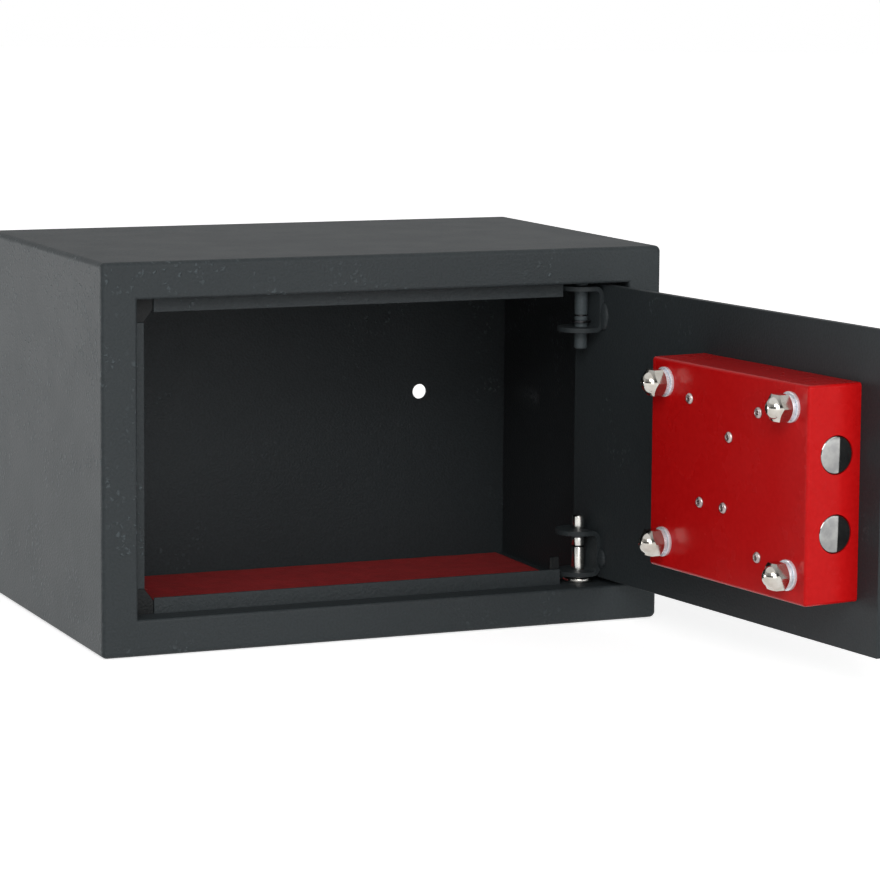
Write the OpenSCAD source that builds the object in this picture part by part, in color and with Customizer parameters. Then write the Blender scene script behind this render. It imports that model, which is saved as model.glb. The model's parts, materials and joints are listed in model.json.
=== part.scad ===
// Small steel safe deposit box with its door open: folded body, recessed door on two
// pin hinges, and a lock case with two live bolts, a knob and a key lock.
// +X is the hinge side, -Y the front and +Z up. The origin is the centre of the body's
// bottom face. Door parts are drawn at u, w, z: u from the hinge axis to the free edge,
// w above the door's inner face, z up from the bottom of the body.

/* [Body] */
// Width of the body
body_w = 310; // [290:5:400]
// Height of the body
body_h = 200; // [190:5:300]
// Depth of the body
body_d = 200; // [160:5:320]
// Thickness of the body's sheet
sheet = 1.5; // [1:0.25:2]
// Outer radius of the four long bends
corner_r = 3; // [2.5:0.5:6]
// Radius of the front edge's bend
front_r = 2; // [1:0.25:2.5]
// Width of the front rails round the opening
rail_w = 19; // [17:1:24]

/* [Door recess] */
// Depth from the front to the stop flange
return_d = 14; // [12:1:20]
// Width of the stop flange
stop_w = 8; // [5:1:9]
// Length of each leg of the corner gussets
gusset_leg = 14.5; // [13:0.5:20]
// How far the gussets' slanting edge cuts into their inner corner
gusset_cut = 6.5; // [3:0.5:7]
// Distance that the gussets are set back from the flange's face
gusset_back = 0.5; // [0.25:0.25:0.75]
// Width of the tab at the lower hinge-side end of the flange
tab_w = 5.5; // [4:0.5:8]
// Distance that the tab stands past the flange's edge
tab_rise = 6.5; // [3:0.5:8]

/* [Anchor holes] */
// Distance between the two holes in the back
anchor_pitch = 200; // [120:10:220]
// Height of the holes above the bottom
anchor_rise = 100; // [60:5:150]
// Diameter of the holes
anchor_d = 8.5; // [6:0.5:12]

/* [Floor mat] */
// Thickness of the felt mat
mat_t = 2; // [1:0.5:4]
// Gap round the mat
mat_gap = 1.5; // [0.5:0.5:5]

/* [Door] */
// Thickness of the door plate
door_t = 4; // [3:0.5:5]
// Gap at the free edge
free_gap = 1.5; // [1:0.25:3]
// Gap at the hinge edge
hinge_gap = 3.2; // [2.6:0.2:5]
// Gap above the door
top_gap = 1.5; // [1:0.25:3]
// Gap below the door
bottom_gap = 3; // [2.8:0.2:4]
// Gap between the closed door and the stop flange
seat_gap = 1; // [0.5:0.25:2]
// Angle at which the door stands open
open_deg = 97.5; // [0:0.5:108]

/* [Hinges] */
// Distance of the hinge axis from the side of the opening
hinge_inset = 18.5; // [18:0.5:22]
// Height of the hinge axis above the door's inner face
hinge_lift = 6.5; // [6:0.5:8]
// Diameter of the hinge pins
pin_d = 7; // [5:0.5:8]
// Radial clearance of every shaft that turns
run_gap = 0.05; // [0.02:0.01:0.1]
// Width of a hinge bracket
bracket_w = 24; // [18:1:26]
// Height of a hinge bracket
bracket_h = 24.5; // [20:0.5:32]
// Thickness of a bracket's strip
bracket_t = 2.4; // [1.5:0.1:3]
// Distance of a bracket from the door's upper or lower edge
bracket_inset = 1; // [0.5:0.5:6]
// Length of the pins' ends that stand out of the brackets
pin_tail = 9.5; // [6:0.5:12]
// Thickness of the plates that carry the pins
hinge_plate_t = 3; // [2:0.5:5]
// Diameter of the thrust washer
thrust_d = 16; // [12:1:18]
// Space left between the thrust washer and the door
thrust_gap = 0.3; // [0.2:0.1:0.6]

/* [Lock cover] */
// Width of the cover
cover_w = 132; // [130:1:145]
// Height of the cover
cover_h = 106; // [106:1:120]
// Depth of the cover
cover_d = 31; // [30:0.5:36]
// Thickness of the cover's sheet
cover_t = 1.5; // [1:0.25:2]
// Distance of the cover from the door's free edge
cover_inset = 16; // [14:0.5:24]

/* [Bolts] */
// Diameter of a bolt
bolt_d = 18.8; // [14:0.2:19]
// Distance between the two bolts
bolt_pitch = 38; // [36:1:44]
// Height of the bolts above the door's inner face
bolt_lift = 14; // [13:0.5:15]
// Length of a bolt
bolt_l = 47.5; // [46:0.5:50]
// Travel of the bolts
throw = 20; // [16:1:21]
// Radial clearance of the bolts in the cover and the guide
bolt_gap = 0.1; // [0.05:0.05:0.5]
// Thickness of the guide plate
guide_t = 4; // [2:0.5:5]

/* [Carriage] */
// Thickness of the carriage's sheet
carriage_t = 2; // [1.5:0.25:2]
// Height of the carriage across the bolts
carriage_h = 58; // [57:0.5:62]
// Height of the carriage's underside above the door
carriage_lift = 3.2; // [3:0.1:3.6]
// Diameter of the drive pin
drive_d = 5; // [4:0.5:5]
// Clearance each side of the drive pin
drive_gap = 0.6; // [0.5:0.05:0.8]
// Diameter of the shoulder screws that guide the carriage
shoulder_d = 6; // [4:0.5:6]

/* [Cover nuts] */
// Diameter of the studs and their nuts' thread
stud_d = 8; // [6:0.5:8]
// Distance of the outer studs from the cover's free side
stud_inset = 14; // [10:0.5:14.5]
// Distance of the inner studs from the cover's hinge side
stud_setback = 12.5; // [10:0.5:16]
// Distance of the studs from the cover's upper and lower side
stud_edge = 12.5; // [11:0.5:14]
// Distance of the studs' middle above the lock's middle
stud_rise = 1; // [0:0.5:2]
// Diameter of the flat washers
washer_d = 15; // [14:0.5:18]
// Thickness of the flat washers
washer_t = 1.6; // [1:0.2:2.4]
// Width of the cap nuts across their flats
nut_af = 13; // [12:0.5:15]

/* [Knob] */
// Distance of the knob and the key from the cover's free side
knob_inset = 76; // [75:0.5:78]
// Diameter of the knob
knob_d = 36; // [30:1:42]
// Length of the knob
knob_l = 20; // [16:1:28]
// Diameter of the knob's shaft
shaft_d = 8; // [6:0.5:8]

/* [Key lock] */
// Distance of the key lock below the knob
key_drop = 41; // [40.5:0.25:41]
// Diameter of the lock's threaded barrel
barrel_d = 17; // [16:0.5:17]
// Length of the barrel behind the door's inner face
barrel_l = 14; // [12:0.5:15]
// Diameter of the turning plug
plug_d = 12; // [10:0.5:13]
// Length of the cam from the plug's axis
cam_l = 17; // [16:0.5:18]
// Width of the cam
cam_w = 6; // [4:0.5:6]

/* [Hidden] */

$fn = 64;
eps = 0.01;             // how far a cutter runs past a face
cut = 1;                // how far a hole's cutter stands out

// places in the body
front_y = -body_d / 2;
back_y = body_d / 2;
open_x = body_w / 2 - rail_w;
open_lo = rail_w;
open_hi = body_h - rail_w;
stop_y = front_y + return_d;
hinge_x = open_x - hinge_inset;
hinge_y = stop_y - seat_gap + hinge_lift;
mid_z = body_h / 2;

// places on the door
door_u0 = hinge_gap - hinge_inset;
door_u1 = hinge_x + open_x - free_gap;
door_z0 = open_lo + bottom_gap;
door_z1 = open_hi - top_gap;

// hinges
clip_t = 0.9;           // thickness of a retaining clip
clip_reach = 2.6;       // how far a clip stands out of its groove
groove_d = pin_d - 1.4; // diameter of a pin's grooves
ear_out = 0.5;          // the ears' round ends are centred this far past the axis
ear_r = bracket_w / 2;
bend_r = 2 * bracket_t; // outer radius of a bracket's bends
ear_reach = hinge_lift + ear_out + ear_r;
swing_gap = 0.5;        // room between the swinging ears and the flange's end
stop_end_x = hinge_x - ear_r - ear_out - swing_gap;
low_bracket_z = door_z0 + bracket_inset;
high_bracket_z = door_z1 - bracket_inset - bracket_h;
hinge_plate_y1 = hinge_y + pin_d / 2 + 5;
hinge_plate_x0 = stop_end_x + swing_gap;
hinge_plate_x1 = open_x - 0.5;
thrust_t = bottom_gap - thrust_gap;

// lock case
cover_u1 = door_u1 - cover_inset;
cover_u0 = cover_u1 - cover_w;
cover_z0 = mid_z - cover_h / 2;
cover_in_w = cover_d - cover_t;
knob_u = cover_u1 - knob_inset;
key_u = knob_u;
key_z = mid_z - key_drop;
bolt_zs = [mid_z - bolt_pitch / 2, mid_z + bolt_pitch / 2];

// screws that join the bolts to the carriage
bolt_screw_d = 6;
bolt_screw_l = 13;      // length inside the bolt
bolt_screw_head_d = 10;
bolt_screw_head_h = 3.5;

// carriage, crank and cam
crank_r = throw / sqrt(2);
drive_u = knob_u - throw / 2;
drive_lo = mid_z + throw / 2;
drive_hi = mid_z + crank_r;
carriage_w1 = carriage_lift + carriage_t;
carriage_z0 = mid_z - carriage_h / 2;
upstand_u1 = cover_u1 - bolt_l;
upstand_u0 = upstand_u1 - carriage_t - 0.5;
upstand_top = bolt_lift + bolt_d / 2 + 0.6;
carriage_u0 = drive_u - drive_d / 2 - drive_gap - 3.4;
crank_gap = 1;          // space between the carriage and the crank
crank_t = 3;            // thickness of the crank
crank_w0 = carriage_w1 + crank_gap;
plate_t = 2;            // thickness of the mechanism plate
plate_w0 = cover_in_w - plate_t;
cam_gap = 0.7;          // room round the cam in the carriage's notch
cam_t = 2.5;            // thickness of the cam
cam_w0 = barrel_l + 0.4;
cam_tip = sqrt(cam_l * cam_l + cam_w * cam_w / 4);
cam_sweep = sqrt(cam_tip * cam_tip - pow(carriage_z0 - key_z, 2));
tooth_top = cam_w0 + cam_t + 3;
notch_w0 = cam_w0 - 1;
guide_u = upstand_u0 - 6;
head_d = 2 * shoulder_d;
guide_dz = carriage_h / 2 - carriage_t - head_d / 2 - 1;
guide_plate_u0 = upstand_u1 + throw + 3.5;

// studs, washers and nuts
stud_dz = cover_h / 2 - stud_edge;
stud_us = [cover_u0 + stud_setback, cover_u1 - stud_inset];
stud_zs = [mid_z + stud_rise - stud_dz, mid_z + stud_rise + stud_dz];
spring_t = 2;           // thickness of a spring washer
nut_h = 6.9;            // height of a cap nut's hexagon
dome_d = nut_af - 1.8;  // diameter of the ball whose upper part is the dome
dome_sink = 1.9;        // depth of the ball's middle below the hexagon's top
stud_past = 0.5;        // distance that the studs reach into the domes
spring_w0 = cover_d + washer_t;
nut_w0 = spring_w0 + spring_t;
stud_w1 = nut_w0 + nut_h + stud_past;

// small screws that hold the mechanism plate: [distance from the free side, height],
// as shares of the cover's width and height
screw_shares = [
    [0.7424, 0.3349], [0.3030, 0.3349], [0.4848, 0.1934],
    [0.6667, -0.1415], [0.5152, -0.1415], [0.2955, -0.3302]
];
screw_places = [for (s = screw_shares) [s[0] * cover_w, s[1] * cover_h]];
screw_d = 3.5;
screw_head_d = 5.6;
screw_head_h = 1.4;

// front furniture
rose_t = 2.5;
rose_d = knob_d + 8;
knob_gap = 0.6;
knob_w1 = -door_t - rose_t - knob_gap;
knob_w0 = knob_w1 - knob_l;
flutes = 10;
grub_d = 2.4;

steel_grey = "#43474a";
red_coat = "#b01014";
chrome = "#d8dadc";

// ---- helpers ----

// rectangle w by h with round corners, lower left corner at the origin
module round_rect(w, h, r) {
    translate([r, 0]) square([w - 2 * r, h]);
    translate([0, r]) square([w, h - 2 * r]);
    for (x = [r, w - r], y = [r, h - r]) translate([x, y]) circle(r);
}

// extrudes an outline drawn in X and Z along +Y, from y0
module along_y(y0, len) {
    translate([0, y0 + len, 0]) rotate([90, 0, 0]) linear_extrude(len) children();
}

// the body's outline, drawn in by t on every side
module body_outline(t, r) {
    translate([t - body_w / 2, t]) round_rect(body_w - 2 * t, body_h - 2 * t, r);
}

// puts what is drawn at u, w, z onto the open door
module on_door() {
    translate([hinge_x, hinge_y, 0])
        rotate([0, 0, open_deg])
            mirror([1, 0, 0])
                translate([0, -hinge_lift, 0])
                    children();
}

// round bar square to the door, from w0 to w1
module bar_w(u, z, w0, w1, d) {
    translate([u, w0, z]) rotate([-90, 0, 0]) cylinder(d = d, h = w1 - w0);
}

// hexagon bar square to the door
module hex_w(u, z, w0, w1, af) {
    translate([u, w0, z]) rotate([-90, 0, 0]) cylinder(d = af / cos(30), h = w1 - w0, $fn = 6);
}

// round bar along the door, from u0 to u1
module bar_u(w, z, u0, u1, d) {
    translate([u0, w, z]) rotate([0, 90, 0]) cylinder(d = d, h = u1 - u0);
}

// slot through a plate square to the door, round at both ends
module slot_w(u0, u1, z, w0, w1, d) {
    for (u = [u0, u1]) bar_w(u, z, w0, w1, d);
    translate([u0, w0, z - d / 2]) cube([u1 - u0, w1 - w0, d]);
}

// ---- body ----

module body_shell() {
    color(steel_grey)
        difference() {
            along_y(front_y + front_r, body_d - front_r) body_outline(0, corner_r);
            along_y(front_y, body_d + cut) body_outline(sheet, corner_r - sheet);
        }
}

// section through one rail, drawn as depth from the front and rise from the outside
module rail_section() {
    translate([0, front_r]) square([sheet, rail_w - front_r]);
    translate([0, rail_w - sheet]) square([return_d, sheet]);
    // rounded edge
    intersection() {
        translate([front_r, front_r]) circle(front_r);
        square(front_r);
    }
    translate([0, front_r - eps]) square([front_r, sheet]);
}

// rail along the bottom edge of a face len wide, its ends cut to 45 degrees
module mitred_rail(len) {
    rise = 2 * rail_w;
    intersection() {
        translate([-len / 2, front_y, 0]) rotate([90, 0, 90]) linear_extrude(len) rail_section();
        along_y(front_y, return_d)
            polygon([
                [-len / 2, 0], [len / 2, 0], [len / 2 - rise, rise], [rise - len / 2, rise]
            ]);
    }
}

module front_frame() {
    color(steel_grey)
        intersection() {
            along_y(front_y, return_d) body_outline(0, corner_r);
            union() {
                for (side = [0, 180])
                    translate([0, 0, mid_z]) rotate([0, side, 0])
                        translate([0, 0, -mid_z]) mitred_rail(body_w);
                for (side = [90, 270])
                    translate([0, 0, mid_z]) rotate([0, side, 0])
                        translate([0, 0, -body_w / 2]) mitred_rail(body_h);
            }
        }
}

// three strips, whose ends meet the gussets' legs
module stop_flange() {
    edge_x = -open_x - sheet;
    edge_z = open_lo - sheet;
    strip = stop_w + sheet;
    level_x = edge_x + gusset_leg;
    upright_z = edge_z + gusset_leg;
    color(steel_grey) {
        translate([edge_x, stop_y, upright_z]) cube([strip, sheet, body_h - 2 * upright_z]);
        for (z = [edge_z, open_hi - stop_w])
            translate([level_x, stop_y, z]) cube([stop_end_x - level_x, sheet, strip]);
    }
}

module corner_gussets() {
    leg = gusset_leg;
    color("#35383a")
        for (side = [0, 1])
            translate([0, 0, side * body_h]) mirror([0, 0, side])
                along_y(stop_y + gusset_back, sheet)
                    translate([-open_x - sheet, open_lo - sheet])
                        polygon([
                            [0, 0], [leg, 0], [leg, leg - gusset_cut],
                            [stop_w + sheet, leg], [0, leg]
                        ]);
}

module hinge_tab() {
    color("#35383a")
        translate([stop_end_x - tab_w, stop_y + sheet, open_lo - sheet])
            cube([tab_w, sheet, sheet + stop_w + tab_rise]);
}

module back_panel() {
    color(steel_grey)
        difference() {
            along_y(back_y - sheet, sheet) body_outline(sheet, corner_r - sheet);
            for (x = [-anchor_pitch / 2, anchor_pitch / 2])
                translate([x, back_y + cut, anchor_rise])
                    rotate([90, 0, 0]) cylinder(d = anchor_d, h = sheet + 2 * cut);
        }
}

module floor_mat() {
    inner_w = body_w - 2 * corner_r;
    mat_y0 = hinge_plate_y1 - 2;
    color("#8a0f14")
        translate([mat_gap - inner_w / 2, mat_y0, sheet])
            cube([inner_w - 2 * mat_gap, back_y - sheet - mat_gap - mat_y0, mat_t]);
}

module hinge_plates() {
    wide = hinge_plate_x1 - hinge_plate_x0;
    color(steel_grey)
        for (side = [0, 1])
            translate([0, 0, side * body_h]) mirror([0, 0, side])
                difference() {
                    union() {
                        // tongue level with the return
                        translate([hinge_plate_x0, stop_y, open_lo - hinge_plate_t])
                            cube([wide, hinge_plate_y1 - stop_y, hinge_plate_t]);
                        // root lapped under the return
                        translate([hinge_plate_x0, front_y + sheet, open_lo - hinge_plate_t])
                            cube([wide, return_d - sheet + eps, hinge_plate_t - sheet]);
                    }
                    translate([hinge_x, hinge_y, open_lo - hinge_plate_t - cut])
                        cylinder(d = pin_d + 2 * run_gap, h = hinge_plate_t + 2 * cut);
                }
}

module thrust_washer() {
    color(chrome)
        translate([hinge_x, hinge_y, open_lo])
            difference() {
                cylinder(d = thrust_d, h = thrust_t);
                translate([0, 0, -cut])
                    cylinder(d = pin_d + 2 * run_gap, h = thrust_t + 2 * cut);
            }
}

// ---- door ----

module door_plate() {
    color("#232527")
        on_door() difference() {
            translate([door_u0, -door_t, door_z0])
                cube([door_u1 - door_u0, door_t, door_z1 - door_z0]);
            bar_w(knob_u, mid_z, -door_t - cut, cut, shaft_d + 6);
            bar_w(key_u, key_z, -door_t - cut, cut, barrel_d);
        }
}

// side view of a bracket: two ears and a web, bent from one strip
module bracket_profile() {
    intersection() {
        square([ear_reach, bracket_h]);
        difference() {
            round_rect(3 * ear_reach, bracket_h, bend_r);
            translate([bracket_t, bracket_t])
                round_rect(3 * ear_reach, bracket_h - 2 * bracket_t, bend_r - bracket_t);
        }
    }
}

module hinge_bracket(z0) {
    color("#2b2d2f")
        on_door() translate([0, 0, z0]) difference() {
            intersection() {
                // the bent strip
                translate([bracket_w / 2, 0, 0])
                    rotate([0, 0, 90]) rotate([90, 0, 0])
                        translate([0, 0, -bracket_w])
                            linear_extrude(bracket_w) bracket_profile();
                // the ears' round ends
                union() {
                    translate([-ear_r, 0, 0])
                        cube([bracket_w, hinge_lift + ear_out, bracket_h]);
                    translate([0, hinge_lift + ear_out, 0]) cylinder(r = ear_r, h = bracket_h);
                }
            }
            translate([0, hinge_lift, -cut]) cylinder(d = pin_d, h = bracket_h + 2 * cut);
        }
}

module upper_hinge_bracket() { hinge_bracket(high_bracket_z); }
module lower_hinge_bracket() { hinge_bracket(low_bracket_z); }

// pin from z0 to z1 with grooves at the given heights
module hinge_pin(z0, z1, grooves) {
    on_door() translate([0, hinge_lift, 0])
        difference() {
            translate([0, 0, z0]) cylinder(d = pin_d, h = z1 - z0);
            for (z = grooves)
                translate([0, 0, z]) difference() {
                    cylinder(d = pin_d + cut, h = clip_t + eps);
                    translate([0, 0, -cut]) cylinder(d = groove_d, h = clip_t + 2 * cut);
                }
        }
}

low_clip_z = low_bracket_z + bracket_h - bracket_t - clip_t - 1;
high_clip_z = high_bracket_z + bracket_t + 2.4;

module upper_hinge_pin() {
    color("#3a3d3f")
        hinge_pin(high_bracket_z - pin_tail, open_hi + hinge_plate_t,
            [high_clip_z, high_clip_z + 3.2]);
}

module lower_hinge_pin() {
    color(chrome)
        hinge_pin(open_lo - hinge_plate_t - 2, low_bracket_z + bracket_h + pin_tail - 2,
            [low_clip_z, low_clip_z - 5.4]);
}

// open ring that snaps into a pin's groove, open towards the bracket's web
module clip_at(z) {
    clip_d = groove_d + 2 * clip_reach;
    mouth = groove_d * 0.66;
    web_gap = 0.5;
    reach = hinge_lift - bracket_t - web_gap;
    on_door() translate([0, hinge_lift, z])
        difference() {
            cylinder(d = clip_d, h = clip_t);
            translate([0, 0, -cut]) cylinder(d = groove_d, h = clip_t + 2 * cut);
            translate([-mouth / 2, -clip_d, -cut]) cube([mouth, clip_d, clip_t + 2 * cut]);
            translate([-clip_d, -clip_d - reach, -cut]) cube([2 * clip_d, clip_d, clip_t + 2 * cut]);
        }
}

module hinge_clips() {
    color("#2a2a2a") {
        clip_at(low_clip_z);
        clip_at(high_clip_z);
    }
}

module lock_cover() {
    color(red_coat)
        on_door() difference() {
            translate([cover_u0, 0, cover_z0]) cube([cover_w, cover_d, cover_h]);
            translate([cover_u0 + cover_t, -cut, cover_z0 + cover_t])
                cube([cover_w - 2 * cover_t, cover_in_w + cut, cover_h - 2 * cover_t]);
            for (z = bolt_zs)
                bar_u(bolt_lift, z, cover_u1 - cover_t - cut, cover_u1 + cut,
                    bolt_d + 2 * bolt_gap);
            for (u = stud_us, z = stud_zs)
                bar_w(u, z, cover_in_w - cut, cover_d + cut, stud_d);
            for (p = screw_places)
                bar_w(cover_u1 - p[0], mid_z + p[1], cover_in_w - cut, cover_d + cut, screw_d);
        }
}

module cover_studs() {
    color(chrome)
        on_door() for (u = stud_us, z = stud_zs) bar_w(u, z, 0, stud_w1, stud_d);
}

module flat_washers() {
    color("#c9d2dc")
        on_door() for (u = stud_us, z = stud_zs)
            difference() {
                bar_w(u, z, cover_d, spring_w0, washer_d);
                bar_w(u, z, cover_d - cut, spring_w0 + cut, stud_d);
            }
}

module spring_washers() {
    color(chrome)
        on_door() for (u = stud_us, z = stud_zs)
            difference() {
                bar_w(u, z, spring_w0, nut_w0, nut_af);
                bar_w(u, z, spring_w0 - cut, nut_w0 + cut, stud_d);
                translate([u - 0.5, spring_w0 - cut, z])
                    cube([1, spring_t + 2 * cut, nut_af]);
            }
}

module cap_nuts() {
    color(chrome)
        on_door() for (u = stud_us, z = stud_zs)
            difference() {
                union() {
                    hex_w(u, z, nut_w0, nut_w0 + nut_h, nut_af);
                    translate([u, nut_w0 + nut_h - dome_sink, z]) rotate([-90, 0, 0])
                        rotate_extrude() intersection() {
                            circle(d = dome_d);
                            translate([0, dome_sink - cut]) square(dome_d);
                        }
                }
                bar_w(u, z, nut_w0 - cut, stud_w1, stud_d);
            }
}

module cover_screws() {
    color(chrome)
        on_door() for (p = screw_places) {
            u = cover_u1 - p[0];
            z = mid_z + p[1];
            difference() {
                union() {
                    bar_w(u, z, plate_w0 - 2, cover_d + cut / 2, screw_d);
                    bar_w(u, z, cover_d, cover_d + screw_head_h, screw_head_d);
                }
                bar_w(u, z, cover_d, cover_d + screw_head_h + cut, screw_head_d * 0.42);
            }
        }
}

module mechanism_plate() {
    setback = 26;
    inset = 32;
    edge = 10;
    plate_u0 = cover_u0 + setback;
    plate_u1 = cover_u1 - inset;
    plate_h = cover_h - 2 * edge;
    color("#9a9c9e")
        on_door() difference() {
            translate([plate_u0, plate_w0, mid_z - plate_h / 2])
                cube([plate_u1 - plate_u0, plate_t, plate_h]);
            for (p = screw_places)
                bar_w(cover_u1 - p[0], mid_z + p[1], plate_w0 - cut, cover_in_w + cut, screw_d);
            bar_w(knob_u, mid_z, plate_w0 - cut, cover_in_w + cut, shaft_d + 2 * run_gap);
        }
}

module bolt_guide() {
    guide_h = bolt_pitch + bolt_d + 11;
    color("#9a9c9e")
        on_door() difference() {
            translate([guide_plate_u0, 0, mid_z - guide_h / 2])
                cube([guide_t, upstand_top + 2, guide_h]);
            for (z = bolt_zs)
                bar_u(bolt_lift, z, guide_plate_u0 - cut, guide_plate_u0 + guide_t + cut,
                    bolt_d + 2 * bolt_gap);
        }
}

module guide_screws() {
    color("#b4b6b8")
        on_door() for (dz = [-guide_dz, guide_dz]) {
            bar_w(guide_u, mid_z + dz, 0, carriage_lift - 0.1, shoulder_d + 4);
            bar_w(guide_u, mid_z + dz, 0, carriage_w1 + 0.2 + eps, shoulder_d);
            bar_w(guide_u, mid_z + dz, carriage_w1 + 0.2, carriage_w1 + 2.2, head_d);
        }
}

module knob_bush() {
    color("#b08d3c")
        on_door() difference() {
            bar_w(knob_u, mid_z, -door_t, carriage_lift - 0.6, shaft_d + 6);
            bar_w(knob_u, mid_z, -door_t - cut, carriage_lift, shaft_d + 2 * run_gap);
        }
}

module knob_rose() {
    color(chrome)
        on_door() difference() {
            bar_w(knob_u, mid_z, -door_t - rose_t, -door_t, rose_d);
            bar_w(knob_u, mid_z, -door_t - rose_t - cut, -door_t + cut, shaft_d + 4);
        }
}

module lock_barrel() {
    flange_d = barrel_d + 8;
    color(chrome)
        on_door() difference() {
            union() {
                bar_w(key_u, key_z, -door_t - cut / 2, barrel_l, barrel_d);
                bar_w(key_u, key_z, -door_t - rose_t, -door_t, flange_d);
            }
            bar_w(key_u, key_z, -door_t - rose_t - cut, barrel_l + cut, plug_d + 2 * run_gap);
        }
}

module lock_nut() {
    nut_t = 2.5;
    wall_gap = 0.3;
    room = key_z - cover_z0 - cover_t - wall_gap;
    color("#b4b6b8")
        on_door() difference() {
            hex_w(key_u, key_z, 0, nut_t, min(barrel_d + 5, 2 * room));
            bar_w(key_u, key_z, -cut, nut_t + cut, barrel_d);
        }
}

// ---- bolt carriage ----

module bolt_carriage() {
    slot_d = shoulder_d + 0.4;
    base_l = upstand_u1 - carriage_u0;
    tooth_u0 = key_u - throw + cam_w / 2 + cam_gap;
    notch_u0 = key_u - cam_sweep - cam_gap;
    notch_u1 = key_u + cam_w / 2 + cam_gap;
    notch_h = tooth_top - notch_w0 + cut;
    color("#a8aaac")
        on_door() difference() {
            union() {
                // base that slides over the door
                translate([carriage_u0, carriage_lift, carriage_z0])
                    cube([base_l, carriage_t, carriage_h]);
                // upstand that carries the bolts
                translate([upstand_u0, carriage_lift, carriage_z0])
                    cube([upstand_u1 - upstand_u0, upstand_top - carriage_lift, carriage_h]);
                // lip that the cam blocks
                translate([tooth_u0, carriage_lift, carriage_z0])
                    cube([upstand_u1 - tooth_u0, tooth_top - carriage_lift, carriage_t]);
            }
            // open fork round the knob's shaft
            translate([carriage_u0 - cut, 0, mid_z - shaft_d / 2 - 0.8])
                cube([knob_u - carriage_u0 + shaft_d / 2 + 1 + cut, 2 * carriage_w1, shaft_d + 1.6]);
            // slot for the drive pin
            for (z = [drive_lo, drive_hi])
                bar_w(drive_u, z, 0, 2 * carriage_w1, drive_d + 2 * drive_gap);
            translate([drive_u - drive_d / 2 - drive_gap, 0, drive_lo])
                cube([drive_d + 2 * drive_gap, 2 * carriage_w1, drive_hi - drive_lo]);
            // slots for the shoulder screws
            for (dz = [-guide_dz, guide_dz])
                slot_w(guide_u - throw, guide_u, mid_z + dz, 0, 2 * carriage_w1, slot_d);
            // notch in the lip for the cam
            translate([notch_u0, notch_w0, carriage_z0 - cut])
                cube([notch_u1 - notch_u0, notch_h, carriage_t + 2 * cut]);
            // holes for the bolts' screws
            for (z = bolt_zs)
                bar_u(bolt_lift, z, upstand_u0 - cut, upstand_u1 + cut, bolt_screw_d);
        }
}

module live_bolt(z) {
    chamfer = 0.6;
    color("#e4e6e8")
        on_door() difference() {
            union() {
                bar_u(bolt_lift, z, upstand_u1, cover_u1 - chamfer, bolt_d);
                translate([cover_u1 - chamfer, bolt_lift, z]) rotate([0, 90, 0])
                    cylinder(d1 = bolt_d, d2 = bolt_d - 2 * chamfer, h = chamfer);
            }
            bar_u(bolt_lift, z, upstand_u1 - cut, upstand_u1 + bolt_screw_l + 1, bolt_screw_d);
        }
}

module upper_bolt() { live_bolt(bolt_zs[1]); }
module lower_bolt() { live_bolt(bolt_zs[0]); }

module bolt_screws() {
    color("#b4b6b8")
        on_door() for (z = bolt_zs) {
            bar_u(bolt_lift, z, upstand_u0 - 0.5, upstand_u1 + bolt_screw_l, bolt_screw_d);
            bar_u(bolt_lift, z, upstand_u0 - bolt_screw_head_h, upstand_u0, bolt_screw_head_d);
        }
}

// ---- knob and crank ----

module knob() {
    skirt_h = 4;
    flute_d = 7;
    color(chrome)
        on_door() difference() {
            union() {
                // fluted grip
                difference() {
                    bar_w(knob_u, mid_z, knob_w0, knob_w1, knob_d - 2);
                    for (i = [0:flutes - 1])
                        translate([knob_u, 0, mid_z]) rotate([0, 360 / flutes * (i + 0.5), 0])
                            bar_w(knob_d / 2 + 1.4, 0, knob_w0 - cut, knob_w1 + cut, flute_d);
                }
                bar_w(knob_u, mid_z, knob_w1 - skirt_h, knob_w1, knob_d);
                // raised mark that shows which way the knob is turned
                translate([knob_u - 1.5, knob_w0 - 0.8, mid_z + knob_d / 8])
                    cube([3, 1.8, knob_d / 4]);
            }
            bar_w(knob_u, mid_z, knob_w0 + 4, knob_w1 + cut, shaft_d);
            translate([knob_u, knob_w1 - skirt_h / 2, mid_z - knob_d])
                cylinder(d = grub_d, h = knob_d);
        }
}

module knob_grub_screw() {
    sunk = 2;
    color("#3a3a3c")
        on_door() translate([knob_u, knob_w1 - 2, mid_z - knob_d / 2 + sunk])
            cylinder(d = grub_d, h = knob_d / 2 - shaft_d / 2 - sunk);
}

module knob_shaft() {
    color("#b4b6b8")
        on_door() bar_w(knob_u, mid_z, knob_w0 + 4, cover_in_w - 0.3, shaft_d);
}

// places the crank's parts in the retracted position, drive pin to the hinge side
module on_crank() {
    on_door() translate([knob_u, 0, mid_z]) children();
}

// flat outline of the crank: hub, arm and the eye of the drive pin
module crank_outline() {
    hub_d = shaft_d + 7;
    eye_d = drive_d + 5;
    arm_w = eye_d - 2;
    difference() {
        union() {
            circle(d = hub_d);
            translate([-throw / 2, throw / 2]) circle(d = eye_d);
            rotate(45) translate([-arm_w / 2, 0]) square([arm_w, crank_r]);
        }
        circle(d = shaft_d);
        translate([-throw / 2, throw / 2]) circle(d = drive_d);
    }
}

module crank_arm() {
    color("#8d8f92")
        on_crank() along_y(crank_w0, crank_t) crank_outline();
}

module drive_pin() {
    color("#b4b6b8")
        on_crank() bar_w(-throw / 2, throw / 2, carriage_lift - 0.6, crank_w0 + crank_t, drive_d);
}

// ---- key lock ----

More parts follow.
